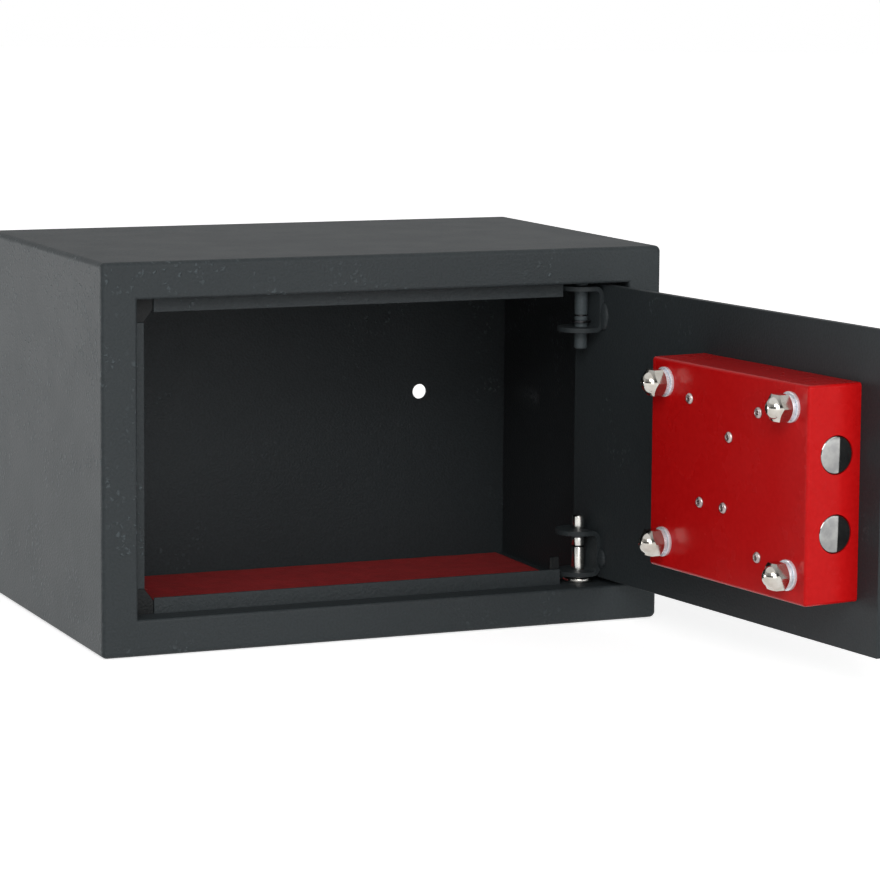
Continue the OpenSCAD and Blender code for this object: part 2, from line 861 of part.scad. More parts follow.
module key_plug() {
    slot_w0 = -door_t - rose_t;
    key_slot = 2.6;
    color("#b9a46a")
        on_door() difference() {
            union() {
                bar_w(key_u, key_z, slot_w0, cam_w0, plug_d);
                translate([key_u - 3.5, cam_w0 - eps, key_z - 3.5]) cube([7, cam_t + eps, 7]);
            }
            translate([key_u - key_slot / 2, slot_w0 - cut, key_z - plug_d * 0.36])
                cube([key_slot, 10 + cut, plug_d * 0.72]);
        }
}

module lock_cam() {
    color("#b4b6b8")
        on_door() difference() {
            union() {
                bar_w(key_u, key_z, cam_w0, cam_w0 + cam_t, 15);
                translate([key_u - cam_l, cam_w0, key_z - cam_w / 2])
                    cube([cam_l, cam_t, cam_w]);
            }
            translate([key_u - 3.5, cam_w0 - cut, key_z - 3.5]) cube([7, cam_t + 2 * cut, 7]);
        }
}

module cam_screw() {
    color(chrome)
        on_door() hex_w(key_u, key_z, cam_w0 + cam_t, cam_w0 + cam_t + 3, 10);
}

body_shell();
front_frame();
stop_flange();
corner_gussets();
hinge_tab();
back_panel();
floor_mat();
hinge_plates();
thrust_washer();
door_plate();
upper_hinge_bracket();
lower_hinge_bracket();
upper_hinge_pin();
lower_hinge_pin();
hinge_clips();
lock_cover();
cover_studs();
flat_washers();
spring_washers();
cap_nuts();
cover_screws();
mechanism_plate();
bolt_guide();
guide_screws();
knob_bush();
knob_rose();
lock_barrel();
lock_nut();
bolt_carriage();
upper_bolt();
lower_bolt();
bolt_screws();
knob();
knob_shaft();
crank_arm();
drive_pin();
knob_grub_screw();
key_plug();
lock_cam();
cam_screw();
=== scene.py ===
# %% [markdown]
# # A small safe deposit box, dressed for the camera
#
# The solid model gives every piece its size and place, in metres. This notebook keeps
# those places and gives the pieces what solids don't have: rounded folds, chamfered
# nuts, painted sheet, felt and polished metal. Each step says what the real piece is,
# then makes it.

# %% Load the solids
import json
import math

import bmesh
import bpy
from mathutils import Matrix, Vector, noise


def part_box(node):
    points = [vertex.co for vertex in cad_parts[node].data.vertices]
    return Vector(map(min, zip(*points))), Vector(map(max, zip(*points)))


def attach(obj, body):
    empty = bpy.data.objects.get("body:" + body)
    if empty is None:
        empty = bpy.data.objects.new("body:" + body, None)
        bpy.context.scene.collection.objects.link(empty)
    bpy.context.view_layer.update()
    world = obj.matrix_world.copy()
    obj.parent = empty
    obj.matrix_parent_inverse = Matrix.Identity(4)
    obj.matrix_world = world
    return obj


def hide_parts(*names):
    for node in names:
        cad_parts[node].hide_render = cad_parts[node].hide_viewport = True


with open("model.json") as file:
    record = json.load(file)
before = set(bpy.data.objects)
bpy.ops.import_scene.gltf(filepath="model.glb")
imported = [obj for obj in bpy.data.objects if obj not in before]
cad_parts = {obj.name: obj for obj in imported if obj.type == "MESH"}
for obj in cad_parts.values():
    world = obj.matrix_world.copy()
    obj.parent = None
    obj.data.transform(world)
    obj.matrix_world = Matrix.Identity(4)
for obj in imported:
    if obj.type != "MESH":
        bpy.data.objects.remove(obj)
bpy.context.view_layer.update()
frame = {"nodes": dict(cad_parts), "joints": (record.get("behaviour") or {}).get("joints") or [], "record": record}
MM = 0.001
body_of = {n: b for b, ns in frame["record"]["behaviour"]["bodies"].items() for n in ns}

# %% [markdown]
# ## The camera
#
# A photograph can be matched by fitting a camera to the straight edges that it shows.
# The fitted values are written here: where the lens was, how far it turned, tipped and
# rolled, and its focal length in pixels of an 880 pixel picture. The picture was
# cropped, so the lens axis isn't in its middle, and `shift_y` moves the frame down.

# %% Place the camera
IMAGE_PX = 880
SENSOR_MM = 36.0
FOCAL_PX = 3496.6
AXIS_ROW_PX = 352
camera_at = Vector((-677.1, -1750.4, 364.0)) * MM
yaw, pitch, roll = 0.4037, 0.11957, 0.00745

ahead = Vector((math.sin(yaw) * math.cos(pitch), math.cos(yaw) * math.cos(pitch), -math.sin(pitch)))
level = Vector((math.cos(yaw), -math.sin(yaw), 0))
upright = level.cross(ahead)
across = math.cos(roll) * level + math.sin(roll) * upright
upward = math.cos(roll) * upright - math.sin(roll) * level

camera = bpy.data.objects.new("camera", bpy.data.cameras.new("camera"))
bpy.context.collection.objects.link(camera)
camera.matrix_world = Matrix.Translation(camera_at) @ Matrix((across, upward, -ahead)).transposed().to_4x4()
camera.data.sensor_width = SENSOR_MM
camera.data.lens = FOCAL_PX / IMAGE_PX * SENSOR_MM
camera.data.shift_y = (AXIS_ROW_PX - IMAGE_PX / 2) / IMAGE_PX
camera.data.clip_end = 50
bpy.context.scene.camera = camera
away = (camera_at - Vector((0, 0, 0.1))).length
print("camera", round(camera.data.lens, 1), "mm,", round(away, 2), "m away")

# %% [markdown]
# ## Helpers for shader nodes
#
# A material is a small network of nodes. `add` puts one node in it and sets or links
# its inputs in one line, so that the recipes below read from top to bottom.

# %% Small helpers for node trees


def add(tree, kind, inputs=None, **settings):
    """Adds a node; inputs maps a socket's name or number to a value or to another socket."""
    made = tree.nodes.new(kind)
    for key, value in settings.items():
        setattr(made, key, value)
    for key, value in (inputs or {}).items():
        socket = made.inputs[key]
        if isinstance(value, bpy.types.NodeSocket):
            tree.links.new(value, socket)
        else:
            socket.default_value = value
    return made


def calc(tree, operation, *values):
    """One Math node; values are numbers or sockets."""
    return add(tree, "ShaderNodeMath", dict(enumerate(values)), operation=operation).outputs[0]


def vector_calc(tree, operation, *values, out=0):
    """One Vector Math node."""
    return add(tree, "ShaderNodeVectorMath", dict(enumerate(values)), operation=operation).outputs[out]


def ramp(tree, value, low, high, to_low=0.0, to_high=1.0):
    """Stretches value from low..high to to_low..to_high, clamped."""
    return add(
        tree, "ShaderNodeMapRange",
        {"Value": value, "From Min": low, "From Max": high, "To Min": to_low, "To Max": to_high},
    ).outputs[0]


def blend_colours(tree, mask, colour_a, colour_b):
    """Colour a where the mask is 0 and colour b where it is 1."""
    mixer = add(tree, "ShaderNodeMix", {0: mask, 6: colour_a, 7: colour_b}, data_type="RGBA")
    return mixer.outputs[2]


def new_group(name, inputs, outputs):
    """A node group with named sockets; inputs are (name, type, default)."""
    tree = bpy.data.node_groups.new(name, "ShaderNodeTree")
    for label, kind, default in inputs:
        socket = tree.interface.new_socket(label, in_out="INPUT", socket_type="NodeSocket" + kind)
        if default is not None:
            socket.default_value = default
    for label, kind in outputs:
        tree.interface.new_socket(label, in_out="OUTPUT", socket_type="NodeSocket" + kind)
    return tree, tree.nodes.new("NodeGroupInput").outputs, tree.nodes.new("NodeGroupOutput").inputs


def place_group(tree, group, **values):
    """Places a group in a material; spaces in socket names are written as underscores."""
    placed = add(tree, "ShaderNodeGroup", node_tree=group)
    for key, value in values.items():
        socket = placed.inputs[key.replace("_", " ")]
        if isinstance(value, bpy.types.NodeSocket):
            tree.links.new(value, socket)
        else:
            socket.default_value = value
    return placed.outputs


print("node helpers ready")

# %% [markdown]
# ## Orange peel
#
# Powder paint melts into a skin that is never quite flat: it has shallow dimples about
# a millimetre across, like orange peel. Both the dark coat and the red coat have it, at
# different sizes, so it is one group. Two noises are added, one for the dimples and one
# for the slow swell of the sheet under them.

# %% Group: orange peel
peel, peel_in, peel_out = new_group(
    "orange_peel",
    [("Vector", "Vector", None), ("Dimple Scale", "Float", 900.0), ("Swell Scale", "Float", 60.0),
     ("Swell Share", "Float", 0.3)],
    [("Height", "Float"), ("Mask", "Float")],
)
dimples = add(peel, "ShaderNodeTexNoise", {"Vector": peel_in["Vector"], "Scale": peel_in["Dimple Scale"],
                                          "Detail": 1.5, "Roughness": 0.45})
swell = add(peel, "ShaderNodeTexNoise", {"Vector": peel_in["Vector"], "Scale": peel_in["Swell Scale"],
                                        "Detail": 1.0})
swell_part = calc(peel, "MULTIPLY", swell.outputs[0], peel_in["Swell Share"])
peel.links.new(calc(peel, "ADD", dimples.outputs[0], swell_part), peel_out["Height"])
peel.links.new(ramp(peel, dimples.outputs[0], 0.35, 0.65), peel_out["Mask"])
print("group", peel.name)

# %% [markdown]
# ## Grains
#
# Close up, the dark coat has nibs, small lumps where a grain of powder didn't melt
# flat, and felt has specks of lint. Both are scattered dots: a Voronoi texture gives
# the distance to the nearest of many random points, and its cell colour picks which of
# those points carry a dot. A noise bends the dots out of round. They come in clusters,
# so a slow noise fades them out between these. The result is a dome, 1 in its middle
# and 0 at its rim, so that it can be used as a height or as a mask.

# %% Group: scattered grains
grains, grains_in, grains_out = new_group(
    "scattered_grains",
    [("Vector", "Vector", None), ("Scale", "Float", 500.0), ("Share", "Float", 0.2), ("Size", "Float", 0.2),
     ("Cluster Scale", "Float", 20.0), ("Cluster Limit", "Float", 0.5)],
    [("Dome", "Float")],
)
wobble = add(grains, "ShaderNodeTexNoise",
             {"Vector": grains_in["Vector"], "Scale": grains_in["Scale"]}).outputs["Color"]
centred = vector_calc(grains, "SUBTRACT", wobble, (0.5, 0.5, 0.5))
shift = add(grains, "ShaderNodeVectorMath", {0: centred, 3: calc(grains, "DIVIDE", 1.8, grains_in["Scale"])},
            operation="SCALE").outputs[0]
cells = add(grains, "ShaderNodeTexVoronoi", {"Vector": vector_calc(grains, "ADD", grains_in["Vector"], shift),
                                             "Scale": grains_in["Scale"]})
chosen = calc(grains, "LESS_THAN", add(grains, "ShaderNodeSeparateColor",
                                        {0: cells.outputs["Color"]}).outputs[0], grains_in["Share"])
near_dot = ramp(grains, cells.outputs["Distance"], 0.0, grains_in["Size"], 1.0, 0.0)
rounded = calc(grains, "SUBTRACT", 1.0, calc(grains, "POWER", calc(grains, "SUBTRACT", 1.0, near_dot), 2.0))
patches = add(grains, "ShaderNodeTexNoise",
              {"Vector": grains_in["Vector"], "Scale": grains_in["Cluster Scale"], "Detail": 1.0})
crowd = ramp(grains, calc(grains, "SUBTRACT", patches.outputs[0], grains_in["Cluster Limit"]), 0.0, 0.1)
dots = calc(grains, "MULTIPLY", chosen, rounded)
grains.links.new(calc(grains, "MULTIPLY", dots, crowd), grains_out["Dome"])
print("group", grains.name)

# %% [markdown]
# ## Handling marks
#
# Nothing that has been packed and unpacked is evenly glossy. Soft smudges a few
# centimetres wide make some places a little rougher. Every hard finish uses this group,
# on its roughness only, so the marks show in the shine and not in the colour.

# %% Group: handling marks
smudge, smudge_in, smudge_out = new_group(
    "handling_marks",
    [("Vector", "Vector", None), ("Scale", "Float", 25.0), ("Clean", "Float", 0.3),
     ("Smudged", "Float", 0.4)],
    [("Roughness", "Float")],
)
cloud = add(smudge, "ShaderNodeTexNoise", {"Vector": smudge_in["Vector"], "Scale": smudge_in["Scale"],
                                          "Detail": 4.0, "Roughness": 0.6})
cloud_mask = ramp(smudge, cloud.outputs[0], 0.4, 0.7)
smudge.links.new(add(smudge, "ShaderNodeMix", {0: cloud_mask, 2: smudge_in["Clean"],
                                              3: smudge_in["Smudged"]}).outputs[0],
                 smudge_out["Roughness"])
print("group", smudge.name)

# %% [markdown]
# ## Turning marks
#
# A pin, a bolt or a knob is cut on a lathe, and the tool leaves fine rings round the
# axis. The group is told a point on the axis and the axis' direction. It works out how
# far along and how far out each surface point is, and a noise that is stretched round
# the axis then makes the rings.

# %% Group: turning marks
turning, turning_in, turning_out = new_group(
    "turning_marks",
    [("Vector", "Vector", None), ("Axis Point", "Vector", (0, 0, 0)), ("Axis Direction", "Vector", (0, 0, 1)),
     ("Lines per Metre", "Float", 6000.0)],
    [("Height", "Float")],
)
from_axis = vector_calc(turning, "SUBTRACT", turning_in["Vector"], turning_in["Axis Point"])
along_axis = vector_calc(turning, "DOT_PRODUCT", from_axis, turning_in["Axis Direction"], out=1)
off_axis = vector_calc(turning, "LENGTH",
                       vector_calc(turning, "CROSS_PRODUCT", from_axis, turning_in["Axis Direction"]), out=1)
ring_place = add(turning, "ShaderNodeCombineXYZ", {0: along_axis, 1: off_axis}).outputs[0]
rings = add(turning, "ShaderNodeTexNoise", {"Vector": ring_place, "Scale": turning_in["Lines per Metre"],
                                           "Detail": 2.0})
turning.links.new(rings.outputs[0], turning_out["Height"])
print("group", turning.name)

# %% [markdown]
# ## The finishes
#
# Each finish is one Principled BSDF. Constants, such as how much light a coat mirrors,
# are set on its own sockets. Only what changes over the surface comes from the groups.

# %% Start a material


def new_material(name, **constants):
    """Returns an empty material, its tree, its Principled BSDF and the place on the piece."""
    material = bpy.data.materials.new(name)
    material.use_nodes = True
    tree = material.node_tree
    shader = tree.nodes["Principled BSDF"]
    for label, value in constants.items():
        shader.inputs[label.replace("_", " ")].default_value = value
    place = add(tree, "ShaderNodeTexCoord").outputs["Object"]
    return material, tree, shader, place


def bump(tree, height, strength, distance, under=None):
    """A Bump node; distance is how deep the relief is, in metres."""
    inputs = {"Height": height, "Strength": strength, "Distance": distance}
    if under is not None:
        inputs["Normal"] = under
    return add(tree, "ShaderNodeBump", inputs).outputs[0]


def grey(level, tint=(1, 1, 1)):
    return (level * tint[0], level * tint[1], level * tint[2], 1)


# %% [markdown]
# The **dark coat** covers body and door: anthracite powder paint, half matt, with peel and clusters of small nib
# bumps, most of them in the upper left corner of the body. The nibs' tops are also painted lighter, as painted
# glints. Inside the safe the same paint looks almost black, only because little light gets in. The photograph
# shows the small corner plates darker and the upper hinge pin paler than the rest, so these have coats of their
# own.

# %% Finish: dark powder coat
COAT_TINT = (0.82, 1.0, 1.08)
PEEL_GAIN, NIB_GLINT_GAIN = 1.2, 2.8


def dark_coat(name, level, dimple_depth, nib_depth):
    material, tree, shader, place = new_material(name, IOR=1.5, Specular_IOR_Level=0.2)
    skin = place_group(tree, peel, Vector=place, Dimple_Scale=820, Swell_Scale=45, Swell_Share=0.5)
    spot = add(tree, "ShaderNodeSeparateXYZ", {0: place}).outputs
    towards_corner = calc(tree, "SUBTRACT", spot["X"], calc(tree, "MULTIPLY", spot["Z"], 0.7))
    limit = ramp(tree, towards_corner, -0.28, -0.10, 0.32, 0.64)
    nibs = place_group(tree, grains, Vector=place, Scale=360, Share=0.4, Size=0.42,
                       Cluster_Scale=24, Cluster_Limit=limit)["Dome"]
    paint = blend_colours(tree, skin["Mask"], grey(level, COAT_TINT), grey(level * PEEL_GAIN, COAT_TINT))
    # The nibs are painted lighter than the paint round them: painted glints on their bumps.
    speckled_with_painted_glints = blend_colours(tree, nibs, paint, grey(level * NIB_GLINT_GAIN, COAT_TINT))
    tree.links.new(speckled_with_painted_glints, shader.inputs["Base Color"])
    marks = place_group(tree, smudge, Vector=place, Scale=30, Clean=0.52, Smudged=0.56)
    tree.links.new(marks["Roughness"], shader.inputs["Roughness"])
    skin_relief = bump(tree, skin["Height"], 1.0, dimple_depth)
    tree.links.new(bump(tree, nibs, 1.0, nib_depth, skin_relief), shader.inputs["Normal"])
    return material


body_coat = dark_coat("dark_body_coat", 0.0285, 0.0003, 0.0004)
door_coat = dark_coat("dark_door_coat", 0.025, 0.00015, 0.0002)
corner_coat = dark_coat("dark_corner_coat", 0.006, 0.0003, 0.0002)
# The upper hinge pin's coat is simply made paler than the door's.
pin_coat = dark_coat("pale_pin_coat", 0.060, 0.00015, 0.0002)
print("made", body_coat.name + ",", door_coat.name + ",", corner_coat.name, "and", pin_coat.name)

# %% [markdown]
# The **red coat** of the lock case is the same kind of paint, but glossy: small
# roughness, wide shallow peel.

# %% Finish: red gloss coat
red_coat, tree, shader, place = new_material("red_gloss_coat", IOR=1.45, Specular_IOR_Level=0.13)
skin = place_group(tree, peel, Vector=place, Dimple_Scale=420, Swell_Scale=55, Swell_Share=0.8)
red = blend_colours(tree, skin["Mask"], (0.475, 0.0040, 0.0045, 1), (0.505, 0.0060, 0.0065, 1))
tree.links.new(red, shader.inputs["Base Color"])
marks = place_group(tree, smudge, Vector=place, Scale=30, Clean=0.24, Smudged=0.30)
tree.links.new(marks["Roughness"], shader.inputs["Roughness"])
tree.links.new(bump(tree, skin["Height"], 0.35, 0.00008), shader.inputs["Normal"])
print("made", red_coat.name)

# %% [markdown]
# The **felt** of the mat scatters light from countless short fibres. Sheen gives the
# soft pale glow of fibre tips, and two noises of different size give clumps and fuzz.

# %% Finish: red felt
felt, tree, shader, place = new_material("red_felt", Sheen_Weight=0.25, Sheen_Roughness=0.6, IOR=1.3)
shader.inputs["Sheen Tint"].default_value = (0.75, 0.10, 0.10, 1)
clumps = add(tree, "ShaderNodeTexNoise", {"Vector": place, "Scale": 120, "Detail": 5.0, "Roughness": 0.65})
fuzz = add(tree, "ShaderNodeTexNoise", {"Vector": place, "Scale": 1900, "Detail": 3.0, "Roughness": 0.7,
                                       "Distortion": 1.5})
lint = place_group(tree, grains, Vector=place, Scale=160, Share=0.10, Size=0.16,
                   Cluster_Scale=12, Cluster_Limit=0.45)
shade = calc(tree, "MULTIPLY", ramp(tree, clumps.outputs[0], 0.3, 0.7),
             ramp(tree, fuzz.outputs[0], 0.25, 0.7))
wool = blend_colours(tree, shade, (0.19, 0.006, 0.007, 1), (0.46, 0.018, 0.020, 1))
tree.links.new(blend_colours(tree, lint["Dome"], wool, (0.5, 0.09, 0.08, 1)), shader.inputs["Base Color"])
tree.links.new(ramp(tree, fuzz.outputs[0], 0.2, 0.8, 0.85, 1.0), shader.inputs["Roughness"])
clump_relief = bump(tree, clumps.outputs[0], 0.5, 0.0008)
tree.links.new(bump(tree, fuzz.outputs[0], 0.8, 0.0004, clump_relief), shader.inputs["Normal"])
print("made", felt.name)

# %% [markdown]
# **Bare and plated metal.** All metals here are made by one function. It is given the
# metal's colour, how rough it is clean and handled, a second colour that shows in
# clouds (zinc plating turns blue and yellow), and for turned pieces the lathe's axis.
# The washers look brighter than polished metal would here. So they are only partly
# `bare` metal, and scatter some light as paint does. That is a match, not a known finish.

# %% Finish: metals


def metal(name, colour, blush, clean, smudged, axis=None, depth=0.00001, bare=1.0):
    material, tree, shader, place = new_material(name, Metallic=bare)
    cloud = add(tree, "ShaderNodeTexNoise", {"Vector": place, "Scale": 210, "Detail": 3.0})
    tone = blend_colours(tree, ramp(tree, cloud.outputs[0], 0.35, 0.65), (*colour, 1), (*blush, 1))
    tree.links.new(tone, shader.inputs["Base Color"])
    marks = place_group(tree, smudge, Vector=place, Scale=160, Clean=clean, Smudged=smudged)
    tree.links.new(marks["Roughness"], shader.inputs["Roughness"])
    if axis:
        lines = place_group(tree, turning, Vector=place, Axis_Point=axis[0], Axis_Direction=axis[1])
        relief = lines["Height"]
    else:
        relief = place_group(tree, peel, Vector=place, Dimple_Scale=1500, Swell_Scale=300)["Height"]
    tree.links.new(bump(tree, relief, 0.5, depth), shader.inputs["Normal"])
    return material


hinge_at = Vector(next(j for j in frame["joints"] if j["name"] == "door_hinge")["pos_m"])
along_door = Vector(next(j for j in frame["joints"] if j["name"] == "bolt_slide")["axis"]).normalized()
from_door = Vector((along_door.y, -along_door.x, 0))
if from_door.x > 0:
    from_door.negate()
print("door runs along", [round(x, 3) for x in along_door], "and faces", [round(x, 3) for x in from_door])

# %% [markdown]
# ## The door's own directions
#
# The door stands open at an angle, so its pieces are easiest to make in its own
# directions: `u` from the hinge to the free edge, `w` out of its inner face and `z` up.
# The hinge and the bolts' direction are in the record, and the rest follows from them.

# %% Door directions
HINGE_LIFT = 6.5 * MM
door_zero = Vector((hinge_at.x, hinge_at.y, 0)) - HINGE_LIFT * from_door
UP = Vector((0, 0, 1))
to_world = Matrix.Translation(door_zero) @ Matrix((along_door, from_door, UP)).transposed().to_4x4()
to_door = to_world.inverted()


def door_box(node):
    """Lowest and highest corner of a solid in the door's directions (u, w, z)."""
    points = [to_door @ v.co for v in frame["nodes"][node].data.vertices]
    return (Vector(min(p[i] for p in points) for i in range(3)),
            Vector(max(p[i] for p in points) for i in range(3)))


def out_of_door(u, z, w=0.0):
    """Lathe axis that stands square on the door; the lathe's Z is w."""
    base = Matrix((along_door, UP, from_door)).transposed().to_4x4()
    return Matrix.Translation(to_world @ Vector((u, w, z))) @ base


def down_the_door(w, z):
    """Lathe axis along the door; the lathe's Z is u."""
    base = Matrix((from_door, UP, along_door)).transposed().to_4x4()
    return Matrix.Translation(to_world @ Vector((0, w, z))) @ base


def upright_at(x, y):
    return Matrix.Translation((x, y, 0))


cover_lo, cover_hi = door_box("lock_cover")
print("lock case in door directions:", [round(x * 1000, 1) for x in (*cover_lo, *cover_hi)])

# %% [markdown]
# The metals can now be made, because the axes of the turned pieces are known.

# %% Make the metals
bolt_mid = to_world @ Vector((cover_hi.x, 14 * MM, 81 * MM))
bolt_high = to_world @ Vector((cover_hi.x, 14 * MM, 119 * MM))
knob_lo, knob_hi = door_box("knob")
knob_u, knob_z = (knob_lo.x + knob_hi.x) / 2, 100 * MM
knob_at = to_world @ Vector((knob_u, 0, knob_z))
SILVER, WARM = (0.66, 0.66, 0.64), (0.60, 0.59, 0.55)
chrome = metal("bright_nickel", (0.58, 0.56, 0.52), (0.48, 0.45, 0.40), 0.12, 0.20)
chrome_pin = metal("chrome_pin", SILVER, WARM, 0.16, 0.24, (hinge_at, UP), 0.00002)
chrome_bolts = [metal(name, (0.34, 0.34, 0.33), (0.25, 0.25, 0.25), 0.035, 0.07, (at, along_door), 0.000004)
                for name, at in (("chrome_lower_bolt", bolt_mid), ("chrome_upper_bolt", bolt_high))]
chrome_knob = metal("satin_chrome_knob", SILVER, WARM, 0.16, 0.24, (knob_at, from_door), 0.00002)
zinc = metal("bright_zinc", (0.66, 0.72, 0.80), (0.78, 0.78, 0.74), 0.14, 0.28)
milky_zinc = metal("bright_milky_zinc", (0.80, 0.84, 0.90), (0.66, 0.68, 0.70), 0.22, 0.36, bare=0.4)
# The screw heads' nickel is tinted pink: a painted reflection of the red case round them.
dull_nickel_painted_red_reflection = metal("dull_nickel_painted_red_reflection", (0.46, 0.40, 0.39), (0.32, 0.27, 0.27), 0.28, 0.40)
tool_steel = metal("plain_steel", (0.50, 0.50, 0.50), (0.42, 0.42, 0.43), 0.32, 0.45, depth=0.00004)
# Black steel for the clips and the grub screw, also used on the pins' groove faces as painted shade.
spring_steel = metal("black_spring_steel", (0.05, 0.05, 0.055), (0.03, 0.03, 0.03), 0.35, 0.5)
brass = metal("yellow_brass", (0.72, 0.52, 0.22), (0.62, 0.43, 0.17), 0.2, 0.34)
print("metals made:", sum(1 for m in bpy.data.materials if m.name.split("_")[0] in
                          ("bright", "chrome", "satin", "dull", "plain", "black", "yellow")))

# %% [markdown]
# ## Helpers for meshes
#
# Most of these pieces are either *lofts*, where rings of points are joined by faces, or
# softened copies of a solid. `loft` joins the rings. `turned` makes the rings round an
# axis from a profile. `eased` rounds a profile's corners, because a real edge always
# has a small radius, and that radius is what catches the light.

# %% Mesh helpers


def plain_object(name, bm):
    """Turns a finished bmesh into an object: a piece, a cutting tool or a part of the studio."""
    bmesh.ops.recalc_face_normals(bm, faces=bm.faces)
    mesh = bpy.data.meshes.new(name)
    bm.to_mesh(mesh)
    bm.free()
    made = bpy.data.objects.new(name, mesh)
    bpy.context.collection.objects.link(made)
    return made


def new_piece(name, bm, material, body, stands_for=(), smooth=32):
    """Turns a finished bmesh into a piece that rides on a body."""
    piece = plain_object(name, bm)
    piece.data.shade_smooth()
    piece.data.set_sharp_from_angle(angle=math.radians(smooth))
    piece.data.materials.append(material)
    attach(piece, body)
    if stands_for:
        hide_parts(*stands_for)
    return piece


def loft(bm, rings, closed=False):
    """Joins rings of equally many points; an open loft gets a lid at both ends."""
    rows = [[bm.verts.new(p) for p in ring] for ring in rings]
    for low, high in zip(rows, rows[1:] + ([rows[0]] if closed else [])):
        for i in range(len(low)):
            j = (i + 1) % len(low)
            bm.faces.new((low[i], low[j], high[j], high[i]))
    if not closed:
        bm.faces.new(rows[0])
        bm.faces.new(rows[-1])


def turned(bm, profile, axis, sides=48, closed=False):
    """Turns a profile of (along, radius) points, or of functions of the angle that give one."""
    rings = []
    for step in profile:
        ring = []
        for i in range(sides):
            angle = 2 * math.pi * i / sides
            along, radius = step(angle) if callable(step) else step
            ring.append(axis @ Vector((radius * math.cos(angle), radius * math.sin(angle), along)))
        rings.append(ring)
    loft(bm, rings, closed)


def eased(corners, steps=3):
    """Rounds the corners of a profile; each corner is (along, radius, how much to round)."""
    path = []
    for i, (along, radius, ease) in enumerate(corners):
        here = Vector((along, radius))
        if not ease:
            path.append((along, radius))
            continue
        start = here + (Vector(corners[i - 1][:2]) - here).normalized() * ease
        end = here + (Vector(corners[(i + 1) % len(corners)][:2]) - here).normalized() * ease
        for k in range(steps + 1):
            t = k / steps
            spot = start * (1 - t) ** 2 + here * (2 * t * (1 - t)) + end * t * t
            path.append((spot.x, spot.y))
    return path


print("mesh helpers ready")

# %% [markdown]
# `softened` copies a solid, merges its flat triangles back into whole faces and bevels
# every sharp edge. It suits plates and brackets, whose outline is already right.

# %% Softened copies of solids


def softened(node, material, radius, segments=3, name=None):
    """A copy of a solid with its sharp edges rounded, which then stands for it."""
    bm = bmesh.new()
    bm.from_mesh(frame["nodes"][node].data)
    bmesh.ops.remove_doubles(bm, verts=bm.verts, dist=2e-6)
    bmesh.ops.dissolve_limit(bm, angle_limit=math.radians(0.6), verts=bm.verts, edges=bm.edges)
    sharp = [e for e in bm.edges if len(e.link_faces) == 2 and e.calc_face_angle(0) > math.radians(30)]
    bmesh.ops.bevel(bm, geom=sharp, offset=radius, offset_type="OFFSET", segments=segments,
                    profile=0.5, affect="EDGES", clamp_overlap=True)
    bmesh.ops.remove_doubles(bm, verts=bm.verts, dist=1e-6)
    piece = new_piece(name or node + "_eased", bm, material, body_of[node], [node], smooth=40)
    shading = piece.modifiers.new("flat_faces_stay_flat", "WEIGHTED_NORMAL")
    shading.keep_sharp = True
    return piece


print("softening helper ready")

# %% [markdown]
# ## The body
#
# Body and front are folded from sheet steel: the sides turn over into a narrow face,
# and the face turns inward into a return that lines the door's recess. A chain of
# rounded rectangles, joined like the hoops of a barrel, makes all of that as one skin
# with real bend radii. It starts at the back rim, goes over the outside to the opening
# and comes back along the inside.

# %% Folded body
shell_lo, shell_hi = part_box("body_shell")
front_lo, front_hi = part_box("front_frame")
SHEET = 1.5 * MM
RAIL = 19 * MM
CORNER = 3 * MM
FRONT_BEND = 2.7 * MM
MOUTH_BEND = 1.6 * MM
ARC_STEPS = 6


def hoop(y, inset, corner):
    """A rounded rectangle across the body, inset from its outside."""
    x1, z0, z1 = shell_hi.x - inset, shell_lo.z + inset, shell_hi.z - inset
    points = []
    for (cx, cz), start in (((x1 - corner, z1 - corner), 0), ((corner - x1, z1 - corner), 90),
                            ((corner - x1, z0 + corner), 180), ((x1 - corner, z0 + corner), 270)):
        for k in range(ARC_STEPS + 1):
            angle = math.radians(start + 90 * k / ARC_STEPS)
            points.append(Vector((cx + corner * math.cos(angle), y, cz + corner * math.sin(angle))))
    return points


front_y, back_y, stop_y = front_lo.y, shell_hi.y, front_hi.y
hoops = [(back_y, 0.3 * MM, CORNER), (back_y - 0.3 * MM, 0, CORNER)]
for k in range(ARC_STEPS + 1):
    turn = math.radians(90 * k / ARC_STEPS)
    inset = FRONT_BEND * (1 - math.cos(turn))
    hoops.append((front_y + FRONT_BEND * (1 - math.sin(turn)), inset, CORNER - inset * 0.8))
for k in range(ARC_STEPS + 1):
    turn = math.radians(90 * k / ARC_STEPS)
    hoops.append((front_y + MOUTH_BEND * (1 - math.cos(turn)),
                  RAIL - MOUTH_BEND * (1 - math.sin(turn)), 0.3 * MM))
inside = RAIL - SHEET
hoops += [(stop_y - 0.2 * MM, RAIL, 0.3 * MM), (stop_y, RAIL - 0.2 * MM, 0.3 * MM),
          (stop_y, inside, 0.3 * MM), (front_y + SHEET, inside, 0.3 * MM),
          (front_y + SHEET, SHEET, 1 * MM), (back_y, SHEET, CORNER - SHEET)]
bm = bmesh.new()
loft(bm, [hoop(*h) for h in hoops], closed=True)
body = new_piece("folded_body", bm, body_coat, "cabinet", ["body_shell", "front_frame"])
body.modifiers.new("flat_faces_stay_flat", "WEIGHTED_NORMAL").keep_sharp = True
print(body.name, len(body.data.polygons), "faces")

# %% [markdown]
# The plates that are welded into the body keep their outline and get softened edges.

# %% Plates in the body
for node, coat, radius in (
        ("stop_flange", body_coat, 0.3), ("corner_gussets", corner_coat, 0.4),
        ("hinge_tab", corner_coat, 0.3), ("hinge_plates", body_coat, 0.4), ("back_panel", body_coat, 0.2)):
    plate = softened(node, coat, radius * MM)
    print(plate.name, len(plate.data.polygons), "faces")

# %% [markdown]
# ## The felt mat
#
# The mat is a loose rectangle of felt on the floor of the safe. It is a little short on
# the right, its edges wander by part of a millimetre and its top isn't quite flat. It is
# a closed grid whose points are moved by a smooth noise.

